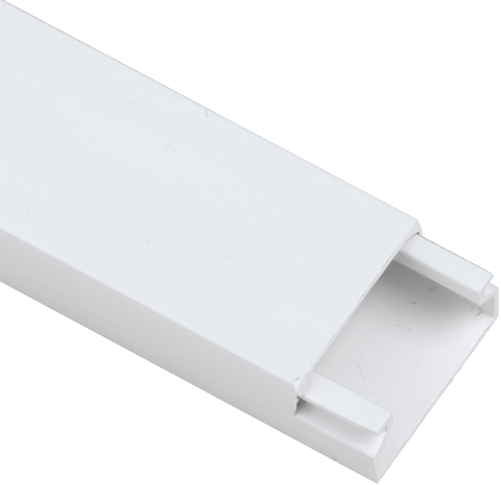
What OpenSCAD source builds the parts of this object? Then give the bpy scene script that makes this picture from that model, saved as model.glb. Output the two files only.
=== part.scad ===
// Two-piece PVC cable trunking, 40 x 20 mm: an open base that is fixed to the wall, and a lid that
// hooks under the two rails of the base. The lid is drawn back a little, so one end shows the section.
// X runs along the trunking, Y across it and Z up from the underside of the base.

/* [Trunking] */
// Width over the top of the lid
trunking_w = 40; // [36:0.5:80]
// Height from the underside of the base to the top of the lid
trunking_h = 20; // [19.5:0.5:40]
// Length that base and lid are cut to
trunking_l = 1000; // [200:10:3000]
// How far the lid is drawn back from the open end of the base
lid_setback = 16; // [0:1:150]

/* [Base] */
// Thickness of the floor
floor_t = 1.5; // [1:0.1:2.5]
// Thickness of the side walls
wall_t = 1.5; // [1:0.1:2]
// Height of the shoulder that carries the lid
shoulder_h = 9.7; // [8:0.1:10.2]
// How far the walls lean out from the floor to the shoulder
wall_lean = 0.6; // [0:0.1:1.2]
// Rise of the slanted ledge from the shoulder to the foot of the web
ledge_rise = 2.5; // [1.8:0.1:3]
// Height from the shoulder down to where the underside of the ledge meets the wall
ledge_drop = 1.2; // [0.8:0.1:1.8]
// Rise of the underside of the ledge from the wall to the inner face of the rail
under_rise = 3.3; // [2.6:0.1:3.6]

/* [Rails] */
// Width of the flat top of a rail
rail_w = 4.8; // [4:0.1:8]
// Thickness of the web that carries a rail
web_t = 1.9; // [1.4:0.1:2.4]
// Height of the nose that the lid hooks under
nose_h = 1.7; // [1.2:0.1:2]

/* [Lid] */
// Thickness of the top plate
lid_t = 1.8; // [1.2:0.1:2.2]
// Thickness of the skirts at their foot
skirt_t = 1.2; // [1:0.1:1.6]
// How far the skirts bow out from the top edge to their foot
skirt_flare = 0.7; // [0:0.1:1.2]
// How far the foot of a skirt stands out past the shoulder
skirt_overhang = 0.15; // [0:0.05:0.4]
// How far the hooks reach in from the skirts
hook_reach = 0.75; // [0.5:0.05:1]
// Height of the blunt tip of a hook
hook_h = 0.9; // [0.5:0.1:1.1]
// Width of the thickened corner under the top plate
gusset_w = 3.2; // [1.5:0.1:5]
// Depth of the thickened corner under the top plate
gusset_h = 1.4; // [0.5:0.1:1.5]

/* [Fit] */
// Space between the top of a rail and the underside of the lid
rail_gap = 1.9; // [1.8:0.1:2.5]
// Space between a skirt and the nose inside it
side_fit = 0.2; // [0.1:0.05:0.4]
// Space between a hook and the nose above it
hook_fit = 0.25; // [0.15:0.05:0.4]
// Space between the foot of a skirt and the ledge
seat_fit = 0.15; // [0.1:0.05:0.3]

/* [Edges] */
// Radius of the long edges of the lid
lid_edge_r = 0.8; // [0.3:0.1:1.2]
// Radius of the rail edges
rail_edge_r = 0.6; // [0.2:0.1:0.8]
// Radius of the shoulders
shoulder_r = 0.9; // [0.4:0.1:1]
// Radius of the inner floor corners
corner_r = 0.5; // [0.2:0.1:0.8]
// Radius of the valley between ledge and web
valley_r = 0.5; // [0.2:0.1:0.8]
// Radius of the small edges
small_r = 0.3; // [0.1:0.05:0.4]

/* [Hidden] */
white_pvc = [0.93, 0.93, 0.94];

// Straight steps in each rounded corner, and in the bow of a skirt
arc_steps = 6;
bow_steps = 6;
// Most of an edge that the rounding of one of its corners may take up
edge_share = 0.45;
// Angle above level at which the foot of a skirt stops lapping over the shoulder
lap_angle = 35;

// Across the section, measured out from the middle
half_w = trunking_w / 2;
skirt_foot_y = half_w + skirt_flare;
skirt_in_y = skirt_foot_y - skirt_t;
hook_y = skirt_in_y - hook_reach;
nose_y = skirt_in_y - side_fit;
lip_y = nose_y - rail_w;
web_y = lip_y + web_t;
shoulder_y = skirt_foot_y - skirt_overhang;
foot_y = shoulder_y - wall_lean;

// Up the section, measured from the underside
plate_z = trunking_h - lid_t;
rail_top_z = plate_z - rail_gap;
nose_under_z = rail_top_z - nose_h;
ledge_top_z = shoulder_h + ledge_rise;
under_foot_z = shoulder_h - ledge_drop;
lip_z = under_foot_z + under_rise;
gusset_z = plate_z - gusset_h;

// Corners of the outer wall and the ledge
foot_corner = [foot_y, 0];
shoulder_corner = [shoulder_y, shoulder_h];
web_corner = [web_y, ledge_top_z];

// The hook lies under the nose, and the foot of the skirt follows the ledge below it
ledge_slope = ledge_rise / (shoulder_y - web_y);
hook_top_z = nose_under_z - hook_fit;
hook_low_z = hook_top_z - hook_h;
hook_lead_z = hook_low_z - hook_reach;
shoulder_arc_r = fitted_r(foot_corner, shoulder_corner, web_corner, shoulder_r);
shoulder_centre = arc_centre(foot_corner, shoulder_corner, web_corner, shoulder_arc_r);
ledge_angle = 90 - atan(ledge_slope);
skirt_foot_z = shoulder_lap(lap_angle).y;
skirt_toe_z = shoulder_lap(ledge_angle).y + ledge_slope * (shoulder_lap(ledge_angle).x - skirt_in_y);

// Inner face of the wall at a height, parallel to its outer face
function wall_inner_y(z) = foot_y + wall_lean * z / shoulder_h - wall_t;

// Point on the underside of a skirt's foot, at an angle round the shoulder that it laps over
function shoulder_lap(angle) =
    shoulder_centre + (shoulder_arc_r + seat_fit) * [cos(angle), sin(angle)];

function unit(v) = v / norm(v);

// Half of the angle at corner b between its neighbours a and c
function half_angle(a, b, c) = acos(unit(a - b) * unit(c - b)) / 2;

// Radius for corner b that its two edges have room for
function fitted_r(a, b, c, radius) =
    min(radius, edge_share * min(norm(a - b), norm(c - b)) * tan(half_angle(a, b, c)));

// Centre of the arc of radius r that rounds corner b
function arc_centre(a, b, c, r) =
    b + unit(unit(a - b) + unit(c - b)) * r / sin(half_angle(a, b, c));

// Points of the arc that rounds corner b between its neighbours a and c
function corner_arc(a, b, c, radius) =
    let (
        half = half_angle(a, b, c),
        r = fitted_r(a, b, c, radius),
        centre = arc_centre(a, b, c, r),
        from = b + unit(a - b) * r / tan(half) - centre,
        turn = cross(b - a, c - b) > 0 ? 180 - 2 * half : 2 * half - 180
    )
    [for (i = [0 : arc_steps]) centre + turned(from, turn * i / arc_steps)];

function turned(v, angle) = [v.x * cos(angle) - v.y * sin(angle), v.x * sin(angle) + v.y * cos(angle)];

function place(corner) = [corner[0], corner[1]];

// Outline of a list of corners, each given as across, up and radius
function rounded(corners) =
    let (n = len(corners))
    [
        for (i = [0 : n - 1])
            each corners[i][2] == 0
                ? [place(corners[i])]
                : corner_arc(
                    place(corners[(i + n - 1) % n]),
                    place(corners[i]),
                    place(corners[(i + 1) % n]),
                    corners[i][2]
                )
    ];

// A half section and its mirror image, as one closed outline
function both_sides(half) =
    let (last = len(half) - 1)
    concat(half, [for (i = [last : -1 : 0]) [-half[i][0], half[i][1], half[i][2]]]);

// Half of the base: wall, slanted ledge, web, nose, rail and floor
base_half = [
    [foot_y, 0, small_r],
    [shoulder_y, shoulder_h, shoulder_r],
    [web_y, ledge_top_z, valley_r],
    [web_y, nose_under_z, small_r],
    [nose_y, nose_under_z, small_r],
    [nose_y, rail_top_z, rail_edge_r],
    [lip_y, rail_top_z, rail_edge_r],
    [lip_y, lip_z, small_r],
    [wall_inner_y(under_foot_z), under_foot_z, corner_r],
    [wall_inner_y(floor_t), floor_t, corner_r],
];

// Bow of the outer face of a skirt, from its foot up to the top edge
skirt_bow = [
    for (i = [1 : bow_steps - 1])
        let (up = i / bow_steps)
        [skirt_foot_y - skirt_flare * up * up, skirt_foot_z + up * (trunking_h - skirt_foot_z), 0]
];

// Underside of a skirt's foot, from the ledge round the shoulder to the thin outer edge
skirt_lap = [
    for (i = [0 : arc_steps])
        let (at = shoulder_lap(ledge_angle + (lap_angle - ledge_angle) * i / arc_steps))
        if (at.x > skirt_in_y) [at.x, at.y, 0]
];

// Half of the lid: top plate, thickened corner, hook and skirt
lid_half = concat(
    [
        [skirt_in_y - gusset_w, plate_z, corner_r],
        [skirt_in_y, gusset_z, corner_r],
        [skirt_in_y, hook_top_z, small_r],
        [hook_y, hook_top_z, small_r],
        [hook_y, hook_low_z, small_r],
        [skirt_in_y, hook_lead_z, small_r],
        [skirt_in_y, skirt_toe_z, 0],
    ],
    skirt_lap,
    [[skirt_foot_y, skirt_foot_z, 0]],
    skirt_bow,
    [[half_w, trunking_h, lid_edge_r]]
);

// A section drawn across the trunking, run along it from start_x
module run_of(start_x) {
    translate([start_x, 0, 0])
        rotate([90, 0, 90])
            linear_extrude(height = trunking_l)
                children();
}

module trunking_base() {
    color(white_pvc)
        run_of(-trunking_l / 2)
            polygon(rounded(both_sides(base_half)));
}

module trunking_lid() {
    color(white_pvc)
        run_of(-trunking_l / 2 - lid_setback)
            polygon(rounded(both_sides(lid_half)));
}

trunking_base();
trunking_lid();
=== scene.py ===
"""White PVC cable trunking, 40 x 20 mm, with its lid drawn back from one sawn end.

The base and the lid are drawn as sections, rounded at their corners and pulled along the trunking.
X runs along the trunking, Y across it and Z up, in metres.
"""

import logging
import math
from collections.abc import Callable
from dataclasses import dataclass
from enum import Enum

import bmesh
import bpy
from mathutils import Matrix, Vector

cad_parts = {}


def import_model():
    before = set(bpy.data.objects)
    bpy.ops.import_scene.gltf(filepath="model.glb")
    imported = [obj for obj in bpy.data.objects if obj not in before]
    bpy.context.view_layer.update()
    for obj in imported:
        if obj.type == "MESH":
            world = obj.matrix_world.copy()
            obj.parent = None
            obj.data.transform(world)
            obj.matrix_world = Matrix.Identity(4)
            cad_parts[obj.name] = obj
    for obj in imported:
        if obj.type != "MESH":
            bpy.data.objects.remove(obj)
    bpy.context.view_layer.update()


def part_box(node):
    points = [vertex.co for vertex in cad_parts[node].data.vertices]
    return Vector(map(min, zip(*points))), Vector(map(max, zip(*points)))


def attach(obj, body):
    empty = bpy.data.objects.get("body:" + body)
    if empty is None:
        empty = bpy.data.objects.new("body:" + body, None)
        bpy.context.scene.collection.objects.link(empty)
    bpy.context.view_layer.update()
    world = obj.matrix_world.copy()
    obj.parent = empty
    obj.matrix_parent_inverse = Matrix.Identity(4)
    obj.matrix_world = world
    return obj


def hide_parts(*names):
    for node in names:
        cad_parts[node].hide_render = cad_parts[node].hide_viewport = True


LOG = logging.getLogger("trunking")
MM = 0.001
SAME_PLACE = 0.001 * MM

Pair = tuple[float, float]
Triple = tuple[float, float, float]
Socket = bpy.types.NodeSocket


class Side(Enum):
    """The two long sides of the trunking, by the way they face along Y."""

    NEAR = -1
    FAR = 1


class Finish(Enum):
    """Material slots of an extruded piece, in order."""

    SKIN = 0
    SAWN = 1


class Element(Enum):
    """What a selection picks, with Blender's name for it."""

    POINT = "VERT"
    EDGE = "EDGE"


@dataclass(frozen=True)
class Corner:
    """A corner of a section: across, up, and the radius that rounds it."""

    across: float
    up: float
    radius: float = 0.0

    def mirrored(self) -> "Corner":
        """The same corner on the other side of the section."""
        return Corner(-self.across, self.up, self.radius)

    def at(self, x: float) -> Vector:
        """Its place in the section that stands at x."""
        return Vector((x, self.across, self.up))


def both_sides(far: list[Corner], near: list[Corner]) -> list[Corner]:
    """Join two half sections.

    Args:
        far: corners of the +Y half, anticlockwise seen from +X.
        near: corners of the -Y half, drawn on the +Y side in the same order.

    Returns:
        Corners of the whole closed section.
    """
    return far + [corner.mirrored() for corner in reversed(near)]


class Bench:
    """Hand tools: each works on the piece that is in edit mode, unless it says otherwise."""

    @staticmethod
    def begin(name: str) -> bpy.types.Object:
        """Start a piece from a plane that is merged into one pen point at the origin.

        Args:
            name: name of the piece.

        Returns:
            The piece, in edit mode, with its one point selected.
        """
        bpy.ops.object.select_all(action="DESELECT")
        bpy.ops.mesh.primitive_plane_add(size=MM, location=(0, 0, 0))
        piece = bpy.context.object
        piece.name = name
        piece.data.name = name
        bpy.ops.object.mode_set(mode="EDIT")
        bpy.ops.mesh.select_mode(type="VERT")
        bpy.ops.mesh.select_all(action="SELECT")
        bpy.ops.mesh.merge(type="CENTER")
        return piece

    @staticmethod
    def choose(piece: bpy.types.Object) -> None:
        """Select one piece alone.

        Args:
            piece: the piece, in object mode.
        """
        bpy.ops.object.select_all(action="DESELECT")
        piece.select_set(True)
        bpy.context.view_layer.objects.active = piece

    @staticmethod
    def edit(piece: bpy.types.Object) -> None:
        """Take a finished piece back into edit mode."""
        Bench.choose(piece)
        bpy.ops.object.mode_set(mode="EDIT")

    @staticmethod
    def end() -> None:
        """Leave edit mode."""
        bpy.ops.object.mode_set(mode="OBJECT")

    @staticmethod
    def move(offset: Vector) -> None:
        """Move what is selected."""
        bpy.ops.transform.translate(value=offset)

    @staticmethod
    def pull(offset: Vector) -> None:
        """Extrude what is selected."""
        bpy.ops.mesh.extrude_region_move(TRANSFORM_OT_translate={"value": offset})

    @staticmethod
    def pick(piece: bpy.types.Object, kind: Element, test: Callable[[object], bool]) -> None:
        """Select the points or edges that pass a test, and nothing else.

        Args:
            piece: the piece in edit mode.
            kind: what to select.
            test: called with each element of that kind.
        """
        bpy.ops.mesh.select_mode(type=kind.value)
        bpy.ops.mesh.select_all(action="DESELECT")
        mesh = bmesh.from_edit_mesh(piece.data)
        for element in mesh.verts if kind is Element.POINT else mesh.edges:
            if test(element):
                element.select = True
        mesh.select_flush_mode()
        bmesh.update_edit_mesh(piece.data)

    @staticmethod
    def pick_points(piece: bpy.types.Object, test: Callable[[Vector], bool]) -> None:
        """Select the points whose places pass a test."""
        Bench.pick(piece, Element.POINT, lambda point: test(point.co))

    @staticmethod
    def pick_ring(piece: bpy.types.Object, at: float, test: Callable[[Vector], bool]) -> None:
        """Select the points of the ring at a place along X whose places pass a test."""
        Bench.pick_points(piece, lambda place: abs(place.x - at) < SAME_PLACE and test(place))

    @staticmethod
    def face_out() -> None:
        """Turn all faces outwards."""
        bpy.ops.mesh.select_all(action="SELECT")
        bpy.ops.mesh.normals_make_consistent(inside=False)

    @staticmethod
    def apply(piece: bpy.types.Object, kind: str, **settings: object) -> None:
        """Add a modifier with its settings to a piece in object mode, and apply it.

        Args:
            piece: the piece, in object mode.
            kind: Blender's name for the modifier's type.
            settings: the modifier's own settings.
        """
        Bench.choose(piece)
        modifier = piece.modifiers.new(kind.lower(), kind)
        for name, value in settings.items():
            setattr(modifier, name, value)
        bpy.ops.object.modifier_apply(modifier=modifier.name)


@dataclass
class Section:
    """A closed section that is drawn at one place and pulled along X."""

    corners: list[Corner]
    start_x: float
    arc_segments: int = 6

    def draw(self, name: str) -> bpy.types.Object:
        """Draw the outline corner by corner, fill it and round its corners.

        Args:
            name: name of the piece.

        Returns:
            The piece, in edit mode, as one face at start_x.
        """
        piece = Bench.begin(name)
        places = [corner.at(self.start_x) for corner in self.corners]
        Bench.move(places[0])
        for before, after in zip(places, places[1:]):
            Bench.pull(after - before)
        bpy.ops.mesh.select_all(action="SELECT")
        bpy.ops.mesh.edge_face_add()
        for index, corner in enumerate(self.corners):
            if corner.radius > 0:
                self.round_corner(piece, index)
        return piece

    def round_corner(self, piece: bpy.types.Object, index: int) -> None:
        """Bevel one corner of the filled outline to its radius.

        Args:
            piece: the piece in edit mode.
            index: which corner.
        """
        places = [corner.at(self.start_x) for corner in self.corners]
        here = places[index]
        to_before = (places[index - 1] - here).normalized()
        to_after = (places[(index + 1) % len(places)] - here).normalized()
        half = to_before.angle(to_after) / 2
        Bench.pick_points(piece, lambda place: (place - here).length < SAME_PLACE)
        bpy.ops.mesh.bevel(
            offset_type="OFFSET",
            offset=self.corners[index].radius / math.tan(half),
            segments=self.arc_segments,
            profile=0.5,
            affect="VERTICES",
        )

    def split_edges(self, piece: bpy.types.Object, step: float) -> None:
        """Cut the long edges of the outline into short ones, so that a sawn end can be ragged.

        Args:
            piece: the piece in edit mode, as one face.
            step: about how long the short edges are.
        """
        mesh = bmesh.from_edit_mesh(piece.data)
        lengths = [(self.middle(edge), edge.calc_length()) for edge in mesh.edges]
        for there, length in lengths:
            if length > 2 * step:
                Bench.pick(
                    piece,
                    Element.EDGE,
                    lambda edge: (self.middle(edge) - there).length < SAME_PLACE,
                )
                bpy.ops.mesh.subdivide(number_cuts=round(length / step) - 1)

    @staticmethod
    def middle(edge: bmesh.types.BMEdge) -> Vector:
        """Middle of an edge."""
        return (edge.verts[0].co + edge.verts[1].co) / 2

    def run(self, piece: bpy.types.Object, stations: list[float]) -> None:
        """Pull the drawn face along X in steps, so that a ring of edges stands at each station.

        Args:
            piece: the piece in edit mode; not used.
            stations: places along X after start_x, in order.
        """
        bpy.ops.mesh.select_mode(type="FACE")
        bpy.ops.mesh.select_all(action="SELECT")
        at = self.start_x
        for station in stations:
            Bench.pull(Vector((station - at, 0, 0)))
            at = station
        Bench.face_out()


@dataclass(frozen=True)
class RingSpacing:
    """Where rings of edges stand along a piece: close together at both ends, evenly spaced between them."""

    from_end: tuple[float, ...] = (0.12 * MM, 0.5 * MM, 4 * MM, 10 * MM, 18 * MM)
    step: float = 25 * MM

    def stations(self, start_x: float, end_x: float) -> list[float]:
        """Places along X for a piece.

        Args:
            start_x: where its section stands.
            end_x: where it ends.

        Returns:
            Places after start_x, in order, with end_x last.
        """
        inner_start = start_x + self.from_end[-1]
        inner_end = end_x - self.from_end[-1]
        count = math.ceil((inner_end - inner_start) / self.step)
        middle = [inner_start + (inner_end - inner_start) * i / count for i in range(1, count)]
        first = [start_x + gap for gap in self.from_end]
        last = [end_x - gap for gap in reversed(self.from_end)]
        return first + middle + last + [end_x]


@dataclass(frozen=True)
class SawCut:
    """What a saw leaves at the ends: edges that are just broken, a wavy cut and small nicks."""

    broken: float = 0.02 * MM
    wave: float = 0.3 * MM
    wave_length: float = 2.5 * MM
    nick: float = 0.1 * MM
    nick_length: float = 0.9 * MM
    edge_step: float = 0.8 * MM

    def work(self, piece: bpy.types.Object, ends: tuple[float, ...]) -> None:
        """Break and roughen the rims of a piece in object mode.

        Args:
            piece: the piece.
            ends: where its ends stand along X.
        """
        Bench.edit(piece)
        Bench.pick_points(piece, lambda place: any(abs(place.x - end) < SAME_PLACE for end in ends))
        bpy.ops.transform.shrink_fatten(value=-self.broken)
        rim = "sawn_rim"
        piece.vertex_groups.new(name=rim)
        bpy.ops.object.vertex_group_assign()
        Bench.end()
        passes = (("X", self.wave, self.wave_length), ("NORMAL", self.nick, self.nick_length))
        for way, depth, length in passes:
            Bench.apply(
                piece,
                "DISPLACE",
                texture=self.clouds(length),
                texture_coords="LOCAL",
                direction=way,
                strength=depth,
                mid_level=0.5,
                vertex_group=rim,
            )
        piece.vertex_groups.clear()

    @staticmethod
    def clouds(length: float) -> bpy.types.Texture:
        """Make smooth noise.

        Args:
            length: about how long its bumps are.

        Returns:
            The noise, as a texture for a modifier.
        """
        texture = bpy.data.textures.new("saw_wave", "CLOUDS")
        texture.noise_scale = length
        return texture


@dataclass(frozen=True)
class Mark:
    """A scratch, speck or line of painted shade: its two ends, in millimetres from the open end, its width
    and how dark it is.
    """

    start: Triple
    end: Triple
    width: float
    depth: float

    @staticmethod
    def speck(at: Triple, width: float, depth: float) -> "Mark":
        """A round mark."""
        return Mark(at, at, width, depth)


class NodeSheet:
    """A material's node tree, with the wiring that the finishes share."""

    def __init__(self, name: str) -> None:
        """Make a material with a Principled shader and object coordinates.

        Args:
            name: name of the material.
        """
        self.material = bpy.data.materials.new(name)
        self.material.use_nodes = True
        self.tree = self.material.node_tree
        self.shader = self.tree.nodes["Principled BSDF"]
        self.place = self.add("ShaderNodeTexCoord").outputs["Object"]

    def add(self, kind: str, **settings: object) -> bpy.types.Node:
        """Add a node.

        Args:
            kind: Blender's name for the node's type.
            settings: properties of the node.

        Returns:
            The new node.
        """
        node = self.tree.nodes.new(kind)
        for name, value in settings.items():
            setattr(node, name, value)
        return node

    def link(self, source: Socket, target: Socket) -> None:
        """Join an output to an input."""
        self.tree.links.new(source, target)

    def noise(self, scale: Triple, detail: float = 2.0) -> Socket:
        """Noise between 0 and 1 over object coordinates.

        Args:
            scale: cycles per metre along X, Y and Z.
            detail: octaves of finer noise.

        Returns:
            The noise value.
        """
        mapping = self.add("ShaderNodeMapping")
        mapping.inputs["Scale"].default_value = scale
        self.link(self.place, mapping.inputs["Vector"])
        node = self.add("ShaderNodeTexNoise")
        node.inputs["Scale"].default_value = 1.0
        node.inputs["Detail"].default_value = detail
        self.link(mapping.outputs["Vector"], node.inputs["Vector"])
        return node.outputs["Fac"]

    def spread(self, value: Socket, source: Pair, target: Pair) -> Socket:
        """Stretch a value from one range to another, clamped at both ends.

        Args:
            value: the value to stretch.
            source: range that it comes from.
            target: range that it goes to.

        Returns:
            The stretched value.
        """
        node = self.add("ShaderNodeMapRange", clamp=True)
        for name, number in zip(("From Min", "From Max", "To Min", "To Max"), (*source, *target)):
            node.inputs[name].default_value = number
        self.link(value, node.inputs["Value"])
        return node.outputs["Result"]

    def math(self, operation: str, first: Socket, second: Socket | float) -> Socket:
        """Join two values with a Math node.

        Args:
            operation: Blender's name for the operation.
            first: the first value.
            second: the second value, linked or plain.

        Returns:
            The result.
        """
        node = self.add("ShaderNodeMath", operation=operation)
        self.link(first, node.inputs[0])
        if isinstance(second, Socket):
            self.link(second, node.inputs[1])
        else:
            node.inputs[1].default_value = second
        return node.outputs[0]

    def vector(self, operation: str, first: Socket, second: Socket | Triple) -> bpy.types.Node:
        """Join two vectors with a Vector Math node.

        Args:
            operation: Blender's name for the operation.
            first: the first vector.
            second: the second vector, linked or plain.

        Returns:
            The node, whose outputs hold the vector and the value.
        """
        node = self.add("ShaderNodeVectorMath", operation=operation)
        self.link(first, node.inputs[0])
        if isinstance(second, Socket):
            self.link(second, node.inputs[1])
        else:
            node.inputs[1].default_value = second
        return node

    def tint(self, factor: Socket, low: Socket | Triple, high: Triple) -> Socket:
        """Mix two colours by a factor.

        Args:
            factor: 0 for the first colour, 1 for the second.
            low: the first colour, linked or linear.
            high: the second colour, linear.

        Returns:
            The mixed colour.
        """
        node = self.add("ShaderNodeMix", data_type="RGBA")
        first, second = [socket for socket in node.inputs if socket.type == "RGBA"]
        if isinstance(low, Socket):
            self.link(low, first)
        else:
            first.default_value = (*low, 1)
        second.default_value = (*high, 1)
        self.link(factor, node.inputs["Factor"])
        return next(socket for socket in node.outputs if socket.type == "RGBA")

    def bump(self, height: Socket, depth: float) -> None:
        """Raise the surface by a height map.

        Args:
            height: the height, 0 to 1.
            depth: how far 1 stands above 0, in metres.
        """
        node = self.add("ShaderNodeBump")
        node.inputs["Distance"].default_value = depth
        self.link(height, node.inputs["Height"])
        self.link(node.outputs["Normal"], self.shader.inputs["Normal"])

    def within(self, box: Triple, fade: float, edge: float) -> Socket:
        """1 inside a channel, falling to 0 towards its near side and outside it.

        Args:
            box: how far the channel reaches to the near and the far side, and its height, in metres.
            fade: over how far it falls towards the near side, in metres.
            edge: over how far it falls elsewhere, in metres.

        Returns:
            The share, 0 to 1.
        """
        near, far, height = box
        split = self.add("ShaderNodeSeparateXYZ")
        self.link(self.place, split.inputs["Vector"])
        from_near = self.spread(split.outputs["Y"], (-near, fade - near), (0, 1))
        from_far = self.spread(split.outputs["Y"], (far, far + edge), (1, 0))
        low = self.spread(split.outputs["Z"], (height - edge, height), (1, 0))
        return self.math("MULTIPLY", self.math("MULTIPLY", from_near, from_far), low)


@dataclass(frozen=True)
class GrimeAndShade:
    """What the marks paint, dirt on most of them and painted shade on some: their colour, their full core,
    how their edges wander and how they break up.
    """

    colour: Triple = (0.11, 0.10, 0.09)
    core: float = 0.1
    shake_scale: float = 2500.0
    shake_reach: float = 0.25 * MM
    patch_scale: float = 1100.0
    patch_source: Pair = (0.35, 0.6)
    patch_share: Pair = (0.4, 1.0)

    def shaken_place(self, sheet: NodeSheet) -> Socket:
        """Object coordinates shaken a little, so that marks get uneven edges.

        Args:
            sheet: the material's nodes.

        Returns:
            The shaken coordinates.
        """
        node = sheet.add("ShaderNodeTexNoise")
        node.inputs["Scale"].default_value = self.shake_scale
        sheet.link(sheet.place, node.inputs["Vector"])
        centred = sheet.vector("SUBTRACT", node.outputs["Color"], (0.5, 0.5, 0.5)).outputs["Vector"]
        moved = sheet.vector("MULTIPLY", centred, (self.shake_reach,) * 3).outputs["Vector"]
        return sheet.vector("ADD", sheet.place, moved).outputs["Vector"]

    def stroke(self, sheet: NodeSheet, place: Socket, mark: Mark, end_x: float) -> Socket:
        """How strongly a mark covers each point: its depth on its line, fading to 0 at its edge.

        Args:
            sheet: the material's nodes.
            place: coordinates to measure from.
            mark: the speck, scratch or line of painted shade.
            end_x: where the open end stands.

        Returns:
            The cover, 0 to 1.
        """
        start, end = (Vector((end_x, 0, 0)) + Vector(point) * MM for point in (mark.start, mark.end))
        line = end - start
        offset = sheet.vector("SUBTRACT", place, tuple(start)).outputs["Vector"]
        if line.length > 0:
            along = sheet.vector("DOT_PRODUCT", offset, tuple(line / line.length_squared)).outputs["Value"]
            foot = sheet.add("ShaderNodeVectorMath", operation="SCALE")
            foot.inputs[0].default_value = line
            sheet.link(sheet.spread(along, (0, 1), (0, 1)), foot.inputs["Scale"])
            offset = sheet.vector("SUBTRACT", offset, foot.outputs["Vector"]).outputs["Vector"]
        node = sheet.add("ShaderNodeVectorMath", operation="LENGTH")
        sheet.link(offset, node.inputs[0])
        half_width = mark.width * MM / 2
        return sheet.spread(node.outputs["Value"], (self.core * half_width, half_width), (mark.depth, 0))

    def soil_and_shade(self, sheet: NodeSheet, colour: Socket, marks: tuple[Mark, ...], end_x: float) -> Socket:
        """Darken a colour where marks lie on it, unevenly along each mark.

        Args:
            sheet: the material's nodes.
            colour: the colour before the marks.
            marks: the specks and scratches, and the lines of painted shade.
            end_x: where the open end stands.

        Returns:
            The darkened colour, with its dirt and its painted shade.
        """
        place = self.shaken_place(sheet)
        cover = self.stroke(sheet, place, marks[0], end_x)
        for mark in marks[1:]:
            cover = sheet.math("MAXIMUM", cover, self.stroke(sheet, place, mark, end_x))
        patches = sheet.spread(sheet.noise((self.patch_scale,) * 3), self.patch_source, self.patch_share)
        # Darker where the marks lie: dirt, and painted shade for the marks that stand for shade.
        return sheet.tint(sheet.math("MULTIPLY", cover, patches), colour, self.colour)


@dataclass(frozen=True)
class ExtrudedPvc:
    """White PVC skin as it leaves the die: faint lines along it, a soft sheen, and the marks of one piece.

    Inside a channel the colour is paler and warmer, less so towards its near side: painted light that
    brightens and warms the shade in the channel. inside is how far the channel reaches to the near and to
    the far side, and its height.
    """

    name: str
    marks: tuple[Mark, ...]
    inside: Triple | None = None
    shade_lift_fade: float = 8 * MM
    shade_lift_edge: float = 1 * MM
    pale: Triple = (0.902, 0.872, 0.859)
    dull: Triple = (0.88, 0.851, 0.838)
    shade_lift: Triple = (0.976, 0.945, 0.931)
    grime_and_shade: GrimeAndShade = GrimeAndShade()
    sheen: Pair = (0.34, 0.47)
    line_scale: Triple = (9.0, 2600.0, 2600.0)
    line_detail: float = 2.0
    line_source: Pair = (0.3, 0.7)
    line_depth: float = 0.006 * MM
    cloud_scale: Triple = (22.0, 90.0, 90.0)
    cloud_detail: float = 3.0

    def make(self, end_x: float) -> bpy.types.Material:
        """Wire the material.

        Args:
            end_x: where the open end stands, for the marks.

        Returns:
            The material.
        """
        sheet = NodeSheet(self.name)
        clouds = sheet.noise(self.cloud_scale, self.cloud_detail)
        colour = sheet.tint(clouds, self.pale, self.dull)
        if self.inside:
            # Painted light: a paler, warmer colour inside the channel brightens and warms its shade.
            inner = sheet.within(self.inside, self.shade_lift_fade, self.shade_lift_edge)
            colour = sheet.tint(inner, colour, self.shade_lift)
        colour = self.grime_and_shade.soil_and_shade(sheet, colour, self.marks, end_x)
        sheet.link(colour, sheet.shader.inputs["Base Color"])
        lines = sheet.noise(self.line_scale, self.line_detail)
        sheen = sheet.spread(lines, self.line_source, self.sheen)
        sheet.link(sheen, sheet.shader.inputs["Roughness"])
        sheet.bump(lines, self.line_depth)
        return sheet.material


@dataclass(frozen=True)
class SawnPvc:
    """A sawn end: fuzzier than the skin, with fine saw lines and the marks of one piece."""

    name: str
    marks: tuple[Mark, ...]
    fuzz: float
    pale: Triple = (0.965, 0.94, 0.93)
    dull: Triple = (0.925, 0.90, 0.89)
    grime_and_shade: GrimeAndShade = GrimeAndShade()
    roughness: float = 0.62
    fuzz_roughness: float = 0.6
    line_scale: Triple = (300.0, 500.0, 4200.0)
    line_detail: float = 3.0
    line_depth: float = 0.03 * MM

    def make(self, end_x: float) -> bpy.types.Material:
        """Wire the material.

        Args:
            end_x: where the open end stands, for the marks.

        Returns:
            The material.
        """
        sheet = NodeSheet(self.name)
        lines = sheet.noise(self.line_scale, self.line_detail)
        colour = sheet.tint(lines, self.dull, self.pale)
        colour = self.grime_and_shade.soil_and_shade(sheet, colour, self.marks, end_x)
        sheet.link(colour, sheet.shader.inputs["Base Color"])
        sheet.shader.inputs["Roughness"].default_value = self.roughness
        sheet.shader.inputs["Sheen Weight"].default_value = self.fuzz
        sheet.shader.inputs["Sheen Roughness"].default_value = self.fuzz_roughness
        sheet.bump(lines, self.line_depth)
        return sheet.material


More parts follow.
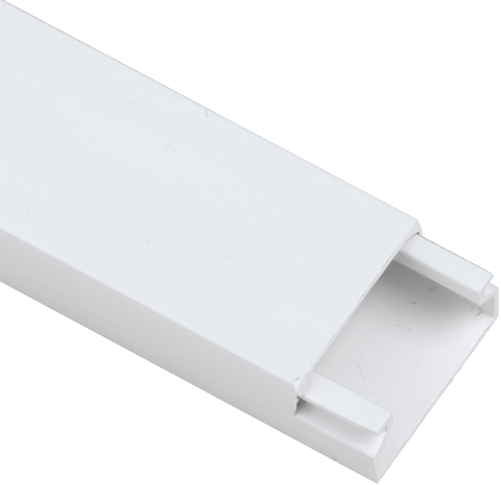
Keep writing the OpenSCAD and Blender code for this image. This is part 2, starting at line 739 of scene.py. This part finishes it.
@dataclass
class Trunking:
    """Sizes that the base and the lid share, as the solids have them."""

    width: float = 40 * MM
    height: float = 20 * MM
    skirt_flare: float = 0.7 * MM
    skirt: float = 1.2 * MM
    skirt_overhang: float = 0.15 * MM
    hook_reach: float = 0.75 * MM
    plate: float = 1.8 * MM
    rail_gap: float = 1.9 * MM
    side_fit: float = 0.2 * MM
    hook_fit: float = 0.25 * MM
    seat_fit: float = 0.15 * MM
    shoulder_h: float = 9.7 * MM
    wall_lean: float = 0.6 * MM
    ledge_rise: float = 2.5 * MM
    shoulder_r: float = 0.9 * MM
    small_r: float = 0.3 * MM
    rail_w: float = 4.8 * MM
    web: float = 1.9 * MM
    nose_h: float = 1.7 * MM

    @property
    def skirt_foot_y(self) -> float:
        """Outer foot of a skirt."""
        return self.width / 2 + self.skirt_flare

    @property
    def skirt_in_y(self) -> float:
        """Inner face of a skirt."""
        return self.skirt_foot_y - self.skirt

    @property
    def hook_y(self) -> float:
        """Tip of a hook."""
        return self.skirt_in_y - self.hook_reach

    @property
    def nose_y(self) -> float:
        """Tip of a nose."""
        return self.skirt_in_y - self.side_fit

    @property
    def lip_y(self) -> float:
        """Inner face of a rail."""
        return self.nose_y - self.rail_w

    @property
    def web_y(self) -> float:
        """Outer face of the web behind a nose."""
        return self.lip_y + self.web

    @property
    def shoulder_y(self) -> float:
        """Outer corner of a shoulder."""
        return self.skirt_foot_y - self.skirt_overhang

    @property
    def foot_y(self) -> float:
        """Outer wall at the underside."""
        return self.shoulder_y - self.wall_lean

    @property
    def plate_z(self) -> float:
        """Underside of the lid's top plate."""
        return self.height - self.plate

    @property
    def rail_top_z(self) -> float:
        """Top of a rail."""
        return self.plate_z - self.rail_gap

    @property
    def nose_under_z(self) -> float:
        """Underside of a nose."""
        return self.rail_top_z - self.nose_h

    @property
    def ledge_top_z(self) -> float:
        """Foot of the web, where the slanted ledge ends."""
        return self.shoulder_h + self.ledge_rise


@dataclass(frozen=True)
class RailStance:
    """How a rail stands at one ring: how far it leans in, and how much wider its top is."""

    lean: float
    widen: float


# One stance for each ring, from the open end back.
NEAR_RAIL = (
    RailStance(0.8 * MM, 0),
    RailStance(0.8 * MM, 0),
    RailStance(0.76 * MM, 0.05 * MM),
    RailStance(0.46 * MM, 0.35 * MM),
    RailStance(0.3 * MM, 0.55 * MM),
    RailStance(0.28 * MM, 0.37 * MM),
)
BASE_MARKS = (
    # Floor.
    Mark((-15.7, -1.9, 1.5), (-14.8, -2.3, 1.5), 0.5, 0.15),
    Mark((-14.8, -2.3, 1.5), (-14.4, -3.2, 1.5), 0.45, 0.22),
    Mark((-14.4, -3.2, 1.5), (-13.0, -3.8, 1.5), 0.5, 0.2),
    Mark((-7.1, 3.8, 1.5), (-6.0, 3.0, 1.5), 0.5, 0.1),
    Mark((-10.2, -5.5, 1.5), (-9.3, -5.6, 1.5), 0.5, 0.08),
    Mark.speck((-15.7, -0.5, 1.5), 0.7, 0.16),
    Mark.speck((-11.8, 0.0, 1.5), 0.7, 0.1),
    Mark((-8.6, -6.6, 1.5), (-8.4, -7.1, 1.5), 0.5, 0.2),
    Mark.speck((-13.7, 8.4, 1.5), 0.9, 0.25),
    Mark.speck((-11.7, 8.6, 1.5), 0.7, 0.4),
    Mark.speck((-2.9, 6.1, 1.5), 0.8, 0.12),
    Mark.speck((-2.4, 7.1, 1.5), 0.7, 0.1),
    Mark.speck((-2.0, 9.2, 1.5), 0.8, 0.12),
    Mark((-13.9, 13.7, 1.5), (-13.5, 13.9, 1.5), 0.8, 0.3),
    Mark((-15.4, 13.3, 1.5), (-14.2, 13.5, 1.5), 0.8, 0.1),
    Mark((-12.7, 17.4, 1.5), (-12.0, 18.1, 1.5), 1.1, 0.25),
    Mark.speck((-4.4, 17.9, 1.5), 1.2, 0.3),
    Mark((-2.9, 17.4, 1.5), (-2.6, 18.2, 1.5), 0.5, 0.65),
    Mark((-2.6, 18.2, 1.5), (-2.1, 18.5, 1.6), 0.45, 0.55),
    Mark((-3.2, 18.6, 2.0), (-2.65, 18.4, 1.5), 0.5, 0.6),
    Mark((-2.4, 17.2, 1.5), (0.2, 17.2, 1.5), 5.0, 0.1),
    # Near wall.
    Mark((-9.0, -20.0, 1.7), (-8.0, -20.0, 2.1), 0.5, 0.2),
    Mark((-9.2, -19.97, 0.6), (-8.5, -19.98, 0.9), 0.7, 0.5),
    Mark((-6.2, -20.4, 7.6), (-5.5, -20.4, 8.0), 0.5, 0.2),
    Mark((-44.0, -20.2, 5.0), (-42.1, -20.2, 5.3), 0.5, 0.2),
    Mark.speck((-0.3, -20.0, 0.9), 0.7, 0.4),
    # Near ledge, beside the lid's end: painted shade where the lid's end shades it.
    Mark((-16.8, -18.5, 11.0), (-15.4, -18.5, 11.0), 3.6, 0.26),
    Mark((-16.8, -19.0, 10.6), (-16.0, -19.0, 10.6), 2.6, 0.3),
    # Outer edge of the far rail: a line of painted shade, where the rounding turns away from the light.
    Mark((-17.0, 19.19, 16.04), (-6.0, 19.19, 16.04), 1.1, 0.9),
    Mark((-6.0, 19.19, 16.04), (-0.5, 19.19, 16.04), 1.0, 0.7),
)
BASE_END_MARKS = (
    # Painted shade: a dark stroke down the near rail's inner edge on the sawn end.
    Mark((0, -13.6, 13.0), (0, -13.9, 10.6), 0.6, 0.22),
    # Painted shade: a dark line across the sawn end of the near ledge.
    Mark((0, -17.0, 9.9), (0, -19.3, 9.0), 0.6, 0.25),
    Mark.speck((0, -15.1, 0.5), 0.6, 0.5),
    Mark.speck((0, -17.6, 0.4), 0.6, 0.5),
    Mark.speck((0, -18.6, 0.3), 0.6, 0.4),
)
LID_MARKS = (
    # Top plate.
    Mark.speck((-54.0, -8.7, 20.0), 0.8, 0.3),
    Mark.speck((-40.6, -3.8, 20.0), 0.8, 0.2),
    Mark.speck((-41.3, -7.8, 20.0), 0.6, 0.16),
    Mark.speck((-21.5, -8.6, 20.0), 0.8, 0.3),
    Mark.speck((-75.9, -14.1, 20.0), 0.8, 0.16),
    Mark.speck((-24.5, -4.5, 20.0), 0.8, 0.08),
    Mark((-61.8, 10.3, 20.0), (-61.9, 9.1, 20.0), 0.6, 0.12),
    Mark((-73.8, 13.3, 20.0), (-71.5, 14.2, 20.0), 0.7, 0.08),
    Mark((-60.2, 19.5, 20.0), (-59.3, 18.2, 20.0), 0.5, 0.25),
    # Painted shade: a dark line along the top's edge at the broken near corner.
    Mark((-17.2, -19.5, 20.0), (-16.4, -17.9, 20.0), 0.7, 0.3),
    # Far top edge: a line of painted shade, where the rounding turns away from the light.
    Mark((-150.0, 19.86, 19.66), (-85.0, 19.86, 19.66), 1.1, 0.45),
    Mark((-85.0, 19.86, 19.66), (-58.0, 19.86, 19.66), 1.0, 0.25),
    # Near skirt.
    Mark((-22.2, -20.6, 11.2), (-21.2, -20.6, 11.5), 0.5, 0.2),
)
LID_END_MARKS = (
    Mark((-15.8, -18.5, 18.2), (-15.9, -16.0, 19.0), 2.4, 0.1),
)


@dataclass
class Extrusion:
    """What the base and the lid share: where they lie along X, their saw cuts and their rings."""

    sizes: Trunking
    start_x: float
    end_x: float
    saw: SawCut = SawCut()
    spacing: RingSpacing = RingSpacing()
    end_facing: float = 0.6

    def extrude(self, name: str, corners: list[Corner]) -> bpy.types.Object:
        """Draw a section, split its edges for the saw and pull it along.

        Args:
            name: name of the piece.
            corners: corners of the section.

        Returns:
            The piece, in edit mode.
        """
        section = Section(corners, self.start_x)
        piece = section.draw(name)
        section.split_edges(piece, self.saw.edge_step)
        section.run(piece, self.spacing.stations(self.start_x, self.end_x))
        return piece

    def saw_ends(self, piece: bpy.types.Object) -> None:
        """Leave edit mode and saw both ends."""
        Bench.end()
        self.saw.work(piece, (self.start_x, self.end_x))

    def coat(self, piece: bpy.types.Object, skin: bpy.types.Material, sawn: bpy.types.Material) -> None:
        """Put the skin on a piece and the sawn finish on its ends.

        Args:
            piece: the piece, in object mode.
            skin: finish of the extruded surface.
            sawn: finish of the sawn ends.
        """
        piece.data.materials.clear()
        piece.data.materials.append(skin)
        piece.data.materials.append(sawn)
        for face in piece.data.polygons:
            at_end = abs(face.normal.x) > self.end_facing
            face.material_index = Finish.SAWN.value if at_end else Finish.SKIN.value


@dataclass
class TrunkingBase(Extrusion):
    """The channel: floor, leaning walls, slanted ledges and the two rails."""

    floor: float = 1.5 * MM
    wall: float = 1.5 * MM
    ledge_drop: float = 1.2 * MM
    under_rise: float = 3.3 * MM
    foot_edge_r: float = 0.1 * MM
    rail_edge_r: float = 0.6 * MM
    lip_edge_r: float = 0.9 * MM
    near_lip_edge_r: float = 0.35 * MM
    corner_r: float = 0.5 * MM
    valley_r: float = 0.5 * MM
    bend_rise: float = 1.7 * MM
    bend_layers: int = 4
    pick_margin: float = 0.2 * MM
    near_rail: tuple[RailStance, ...] = NEAR_RAIL
    end_fuzz: float = 0.1
    smooth_angle: float = math.radians(35)

    def wall_inner_y(self, up: float) -> float:
        """Inner face of the wall at a height."""
        return self.sizes.foot_y + self.sizes.wall_lean * up / self.sizes.shoulder_h - self.wall

    @property
    def under_foot_z(self) -> float:
        """Where the underside of a ledge meets the wall."""
        return self.sizes.shoulder_h - self.ledge_drop

    @property
    def lip_z(self) -> float:
        """Lower edge of the inner face of a rail."""
        return self.under_foot_z + self.under_rise

    def half(self, lip_edge_r: float) -> list[Corner]:
        """Corners of one half of the section, drawn on the +Y side.

        Args:
            lip_edge_r: rounding of the rail's inner edge.

        Returns:
            The corners, from the underside up and over to the floor.
        """
        s = self.sizes
        return [
            Corner(s.foot_y, 0, self.foot_edge_r),
            Corner(s.shoulder_y, s.shoulder_h, s.shoulder_r),
            Corner(s.web_y, s.ledge_top_z, self.valley_r),
            Corner(s.web_y, s.nose_under_z, s.small_r),
            Corner(s.nose_y, s.nose_under_z, s.small_r),
            Corner(s.nose_y, s.rail_top_z, self.rail_edge_r),
            Corner(s.lip_y, s.rail_top_z, lip_edge_r),
            Corner(s.lip_y, self.lip_z, s.small_r),
            Corner(self.wall_inner_y(self.under_foot_z), self.under_foot_z, self.corner_r),
            Corner(self.wall_inner_y(self.floor), self.floor, self.corner_r),
        ]

    def build(self) -> bpy.types.Object:
        """Draw the section, pull it along, lean the near rail in and saw the ends.

        Returns:
            The base.
        """
        halves = self.half(self.lip_edge_r), self.half(self.near_lip_edge_r)
        piece = self.extrude("base_channel", both_sides(*halves))
        for gap, stance in zip((0, *self.spacing.from_end), self.near_rail):
            self.settle_near_rail(piece, self.end_x - gap, stance)
        self.saw_ends(piece)
        bpy.ops.object.shade_smooth_by_angle(angle=self.smooth_angle)
        return piece

    def settle_near_rail(self, piece: bpy.types.Object, at: float, stance: RailStance) -> None:
        """Lean the near rail in at one ring and widen its top, as the real one stands.

        Args:
            piece: the base in edit mode.
            at: where the ring stands along X.
            stance: how the rail stands there.
        """
        inner = self.sizes.lip_y + self.lip_edge_r + self.pick_margin
        low = self.lip_z - self.sizes.small_r
        Bench.pick_ring(piece, at, lambda place: -inner < place.y < 0 and place.z > low)
        Bench.move(Vector((0, stance.widen, 0)))
        for layer in range(self.bend_layers):
            bend = self.under_foot_z + self.bend_rise * (layer + 0.5) / self.bend_layers
            Bench.pick_ring(piece, at, lambda place: place.y < 0 and place.z > bend)
            Bench.move(Vector((0, stance.lean / self.bend_layers, 0)))

    def dress(self, piece: bpy.types.Object) -> None:
        """Give the base its finishes and set it on its body.

        Args:
            piece: the base.
        """
        # The channel whose inside gets painted light, a paler and warmer colour.
        inside = (self.sizes.web_y, self.wall_inner_y(self.floor), self.sizes.rail_top_z)
        skin = ExtrudedPvc("base_skin", BASE_MARKS, inside).make(self.end_x)
        sawn = SawnPvc("base_sawn_end", BASE_END_MARKS, self.end_fuzz).make(self.end_x)
        self.coat(piece, skin, sawn)
        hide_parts("trunking_base")
        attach(piece, "base")


@dataclass(frozen=True)
class SkirtBow:
    """How the outside of a skirt curves in towards its top: from what height, how far, and its top edge."""

    start: float
    lean: float
    edge_r: float

    def lean_at(self, up: float, top: float) -> float:
        """How far the skirt stands in at a height below its top."""
        return self.lean * (max(up - self.start, 0) / (top - self.start)) ** 2


@dataclass
class TrunkingLid(Extrusion):
    """The cap: top plate, bowed skirts, hooks and thickened corners."""

    hook_h: float = 0.9 * MM
    gusset_w: float = 3.2 * MM
    gusset_h: float = 1.85 * MM
    corner_r: float = 0.5 * MM
    near_bow: SkirtBow = SkirtBow(13.4 * MM, 1.17 * MM, 0.8 * MM)
    far_bow: SkirtBow = SkirtBow(9.8 * MM, 0.7 * MM, 0.8 * MM)
    bow_steps: int = 10
    lap_steps: int = 6
    lap_angle: float = math.radians(35)
    near_rake: float = math.radians(6.0)
    near_push: float = 0.35 * MM
    far_rake: float = math.radians(-3.0)
    rake_depth: float = 1 * MM
    chip_back: float = 0.6 * MM
    chip_across: float = 1.6 * MM
    chip_down: float = 1.2 * MM
    burr: float = 0.8 * MM
    burr_width: float = 4.7 * MM
    burr_layers: int = 4
    burr_depth: float = 0.3 * MM
    worn_drop: float = 0.14 * MM
    worn_layers: int = 4
    end_fuzz: float = 0.4
    smooth_angle: float = math.radians(25)

    def lap(self) -> list[Corner]:
        """Draw the underside of a skirt's foot, from the ledge round the shoulder to the thin outer edge.

        Returns:
            Its corners, on the +Y side.
        """
        s = self.sizes
        shoulder = Vector((s.shoulder_y, s.shoulder_h))
        to_foot = (Vector((s.foot_y, 0)) - shoulder).normalized()
        to_web = (Vector((s.web_y, s.ledge_top_z)) - shoulder).normalized()
        half = to_foot.angle(to_web) / 2
        centre = shoulder + (to_foot + to_web).normalized() * s.shoulder_r / math.sin(half)
        reach = s.shoulder_r + s.seat_fit
        slope = s.ledge_rise / (s.shoulder_y - s.web_y)
        ledge_angle = math.pi / 2 - math.atan(slope)
        corners = []
        for i in range(self.lap_steps + 1):
            angle = ledge_angle + (self.lap_angle - ledge_angle) * i / self.lap_steps
            corners.append(Corner(centre.x + reach * math.cos(angle), centre.y + reach * math.sin(angle)))
        first = corners[0]
        toe = Corner(s.skirt_in_y, first.up + slope * (first.across - s.skirt_in_y))
        return [toe, *corners, Corner(s.skirt_foot_y, corners[-1].up)]

    def half(self, bow: SkirtBow) -> list[Corner]:
        """Corners of one half of the section, drawn on the +Y side.

        Args:
            bow: the curve of the skirt's outside.

        Returns:
            The corners, from the plate's underside round the skirt to the top.
        """
        s = self.sizes
        hook_top = s.nose_under_z - s.hook_fit
        hook_low = hook_top - self.hook_h
        inside = [
            Corner(s.skirt_in_y - self.gusset_w, s.plate_z, self.corner_r),
            Corner(s.skirt_in_y, s.plate_z - self.gusset_h, self.corner_r),
            Corner(s.skirt_in_y, hook_top, s.small_r),
            Corner(s.hook_y, hook_top, s.small_r),
            Corner(s.hook_y, hook_low, s.small_r),
            Corner(s.skirt_in_y, hook_low - s.hook_reach, s.small_r),
        ]
        lap = self.lap()
        foot = lap[-1]
        outside = []
        for i in range(1, self.bow_steps):
            up = foot.up + (s.height - foot.up) * i / self.bow_steps
            outside.append(Corner(s.skirt_foot_y - bow.lean_at(up, s.height), up))
        return inside + lap + outside + [Corner(s.skirt_foot_y - bow.lean, s.height, bow.edge_r)]

    def build(self) -> bpy.types.Object:
        """Draw the section, pull it along, saw the ends and break the near corner.

        Returns:
            The lid.
        """
        piece = self.extrude("lid_cap", both_sides(self.half(self.far_bow), self.half(self.near_bow)))
        self.wear_edge(piece)
        self.saw_ends(piece)
        Bench.edit(piece)
        self.rake(piece, Side.FAR, self.far_rake)
        self.rake(piece, Side.NEAR, self.near_rake)
        Bench.move(Vector((self.near_push, 0, 0)))
        self.pull_burr(piece)
        self.chip_near_corner(piece)
        Bench.end()
        bpy.ops.object.shade_smooth_by_angle(angle=self.smooth_angle)
        return piece

    def wear_edge(self, piece: bpy.types.Object) -> None:
        """Lower the top of the lid at its open end, less towards its rounded sides.

        Args:
            piece: the lid in edit mode.
        """
        depth = self.far_bow.edge_r
        for layer in reversed(range(self.worn_layers)):
            low = self.sizes.height - depth + depth * (layer + 0.5) / self.worn_layers
            Bench.pick_ring(piece, self.end_x, lambda place: place.z > low)
            Bench.move(Vector((0, 0, -self.worn_drop / self.worn_layers)))

    def rake(self, piece: bpy.types.Object, side: Side, angle: float) -> None:
        """Tilt the sawn end of one skirt, so that its foot stands back from its top or ahead of it.

        Args:
            piece: the lid in edit mode.
            side: which skirt.
            angle: tilt, positive for a foot that stands back.
        """
        inner = self.sizes.hook_y - self.sizes.small_r
        start = self.end_x - self.rake_depth
        Bench.pick_points(piece, lambda place: place.y * side.value > inner and place.x > start)
        bpy.ops.transform.rotate(
            value=-angle,
            orient_axis="Y",
            orient_type="GLOBAL",
            center_override=(self.end_x, 0, self.sizes.height),
        )

    def pull_burr(self, piece: bpy.types.Object) -> None:
        """Pull the lower edge of the near thick corner out, more towards the skirt, as the saw left it.

        Args:
            piece: the lid in edit mode.
        """
        s = self.sizes
        outer = -s.skirt_in_y - self.saw.nick
        low = s.plate_z - self.gusset_h - self.saw.nick
        high = s.plate_z + self.saw.nick
        start = self.end_x - self.burr_depth
        for layer in range(self.burr_layers):
            inner = -s.skirt_in_y + self.burr_width * (layer + 1) / self.burr_layers
            Bench.pick_points(
                piece,
                lambda place: place.x > start and outer < place.y < inner and low < place.z < high,
            )
            Bench.move(Vector((self.burr / self.burr_layers, 0, 0)))

    def chip_near_corner(self, piece: bpy.types.Object) -> None:
        """Break the near top corner off the open end.

        Args:
            piece: the lid in edit mode; not used.
        """
        corner = Vector((self.end_x, self.near_bow.lean - self.sizes.skirt_foot_y, self.sizes.height))
        across = corner + Vector((0, self.chip_across, 0))
        back = corner - Vector((self.chip_back, 0, 0))
        down = corner - Vector((0, 0, self.chip_down))
        bpy.ops.mesh.select_all(action="SELECT")
        bpy.ops.mesh.bisect(
            plane_co=across,
            plane_no=(back - across).cross(down - across).normalized(),
            use_fill=True,
            clear_outer=True,
            threshold=SAME_PLACE,
        )

    def dress(self, piece: bpy.types.Object, open_x: float) -> None:
        """Give the lid its finishes and set it on its body.

        Args:
            piece: the lid.
            open_x: where the open end of the base stands.
        """
        skin = ExtrudedPvc("lid_skin", LID_MARKS).make(open_x)
        sawn = SawnPvc("lid_sawn_end", LID_END_MARKS, self.end_fuzz).make(open_x)
        self.coat(piece, skin, sawn)
        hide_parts("trunking_lid")
        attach(piece, "lid")


@dataclass(frozen=True)
class LightTable:
    """The pale floor: nearly shadowless to the eye, and plain for the light that it throws back."""

    size: float = 40.0
    drop: float = 0.05 * MM
    colour: Triple = (0.665, 0.62, 0.605)
    glow: float = 1.2
    glow_share: float = 0.85

    def build(self) -> bpy.types.Object:
        """Lay the floor just under the base.

        Returns:
            The floor.
        """
        bpy.ops.object.select_all(action="DESELECT")
        bpy.ops.mesh.primitive_plane_add(size=self.size, location=(0, 0, -self.drop))
        floor = bpy.context.object
        floor.name = "pale_floor"
        sheet = NodeSheet("pale_floor")
        shader = sheet.shader
        shader.inputs["Base Color"].default_value = (*self.colour, 1)
        shader.inputs["Roughness"].default_value = 1.0
        shader.inputs["Specular IOR Level"].default_value = 0.0
        glow = sheet.add("ShaderNodeEmission")
        glow.inputs["Strength"].default_value = self.glow
        seen = sheet.add("ShaderNodeLightPath").outputs["Is Camera Ray"]
        choice = sheet.add("ShaderNodeMixShader")
        sheet.link(sheet.math("MULTIPLY", seen, self.glow_share), choice.inputs[0])
        sheet.link(shader.outputs["BSDF"], choice.inputs[1])
        sheet.link(glow.outputs["Emission"], choice.inputs[2])
        sheet.link(choice.outputs["Shader"], sheet.tree.nodes["Material Output"].inputs["Surface"])
        floor.data.materials.append(sheet.material)
        return floor


@dataclass(frozen=True)
class Lamp:
    """A broad soft lamp, far away: where it stands, in degrees, how broad it is and how strong."""

    name: str
    azimuth: float
    elevation: float
    spread: float
    strength: float

    def build(self) -> bpy.types.Object:
        """Hang the lamp.

        Returns:
            The lamp.
        """
        bpy.ops.object.select_all(action="DESELECT")
        bpy.ops.object.light_add(type="SUN", location=(0, 0, 1))
        lamp = bpy.context.object
        lamp.name = self.name
        lamp.data.energy = self.strength
        lamp.data.angle = math.radians(self.spread)
        turn, tilt = math.radians(self.azimuth), math.radians(self.elevation)
        level = math.cos(tilt)
        toward = Vector((level * math.cos(turn), level * math.sin(turn), math.sin(tilt)))
        lamp.rotation_euler = toward.to_track_quat("Z", "Y").to_euler()
        return lamp


@dataclass(frozen=True)
class Studio:
    """Soft cool light: an even sky, a key lamp past the open end and a fill lamp on the near side."""

    sky: float = 0.396
    tint: Triple = (0.893, 0.948, 0.997)
    key: Lamp = Lamp("key_lamp", azimuth=23, elevation=56, spread=40, strength=1.82)
    fill: Lamp = Lamp("fill_lamp", azimuth=240, elevation=29, spread=50, strength=0.98)

    def build(self) -> None:
        """Set the sky and hang the lamps."""
        world = bpy.data.worlds.new("even_sky")
        world.use_nodes = True
        background = world.node_tree.nodes["Background"]
        background.inputs["Color"].default_value = (*self.tint, 1)
        background.inputs["Strength"].default_value = self.sky
        bpy.context.scene.world = world
        bpy.context.scene.view_settings.view_transform = "Standard"
        for lamp in (self.key, self.fill):
            lamp.build().data.color = self.tint


@dataclass(frozen=True)
class PhotoCamera:
    """A long lens that looks down on the open end at the photograph's angle."""

    azimuth: float = math.radians(38.05)
    elevation: float = math.radians(59.69)
    roll: float = math.radians(-6.0)
    lens: float = 1200.0
    sensor: float = 36.0
    photo_width: int = 501
    pixels_per_metre: float = 5678.8
    aim_from_end: Triple = (-38.67 * MM, 0.6 * MM, 20 * MM)
    clip_end: float = 100.0

    def build(self, end_x: float) -> bpy.types.Object:
        """Set up the camera.

        Args:
            end_x: where the open end of the base stands.

        Returns:
            The camera.
        """
        bpy.ops.object.select_all(action="DESELECT")
        bpy.ops.object.camera_add()
        camera = bpy.context.object
        camera.name = "photo_camera"
        camera.data.lens = self.lens
        camera.data.sensor_width = self.sensor
        camera.data.clip_end = self.clip_end
        level = math.cos(self.elevation)
        back = Vector(
            (math.sin(self.azimuth) * level, -math.cos(self.azimuth) * level, math.sin(self.elevation))
        )
        distance = self.lens / self.sensor * self.photo_width / self.pixels_per_metre
        aim = Vector((end_x, 0, 0)) + Vector(self.aim_from_end)
        turn = (-back).to_track_quat("-Z", "Y").to_matrix() @ Matrix.Rotation(self.roll, 3, "Z")
        camera.matrix_world = Matrix.Translation(aim + back * distance) @ turn.to_4x4()
        bpy.context.scene.camera = camera
        return camera


def main() -> None:
    """Build the trunking, its stage and its light, and report each piece."""
    logging.basicConfig(level=logging.INFO, format="%(message)s")
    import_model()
    base_low, base_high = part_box("trunking_base")
    lid_low, lid_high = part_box("trunking_lid")
    PhotoCamera().build(base_high.x)
    Studio().build()
    LightTable().build()

    sizes = Trunking()
    base = TrunkingBase(sizes, base_low.x, base_high.x)
    base_piece = base.build()
    base.dress(base_piece)
    LOG.info("base: %d faces", len(base_piece.data.polygons))
    lid = TrunkingLid(sizes, lid_low.x, lid_high.x)
    lid_piece = lid.build()
    lid.dress(lid_piece, base_high.x)
    LOG.info("lid: %d faces", len(lid_piece.data.polygons))


if __name__ == "__main__":
    main()
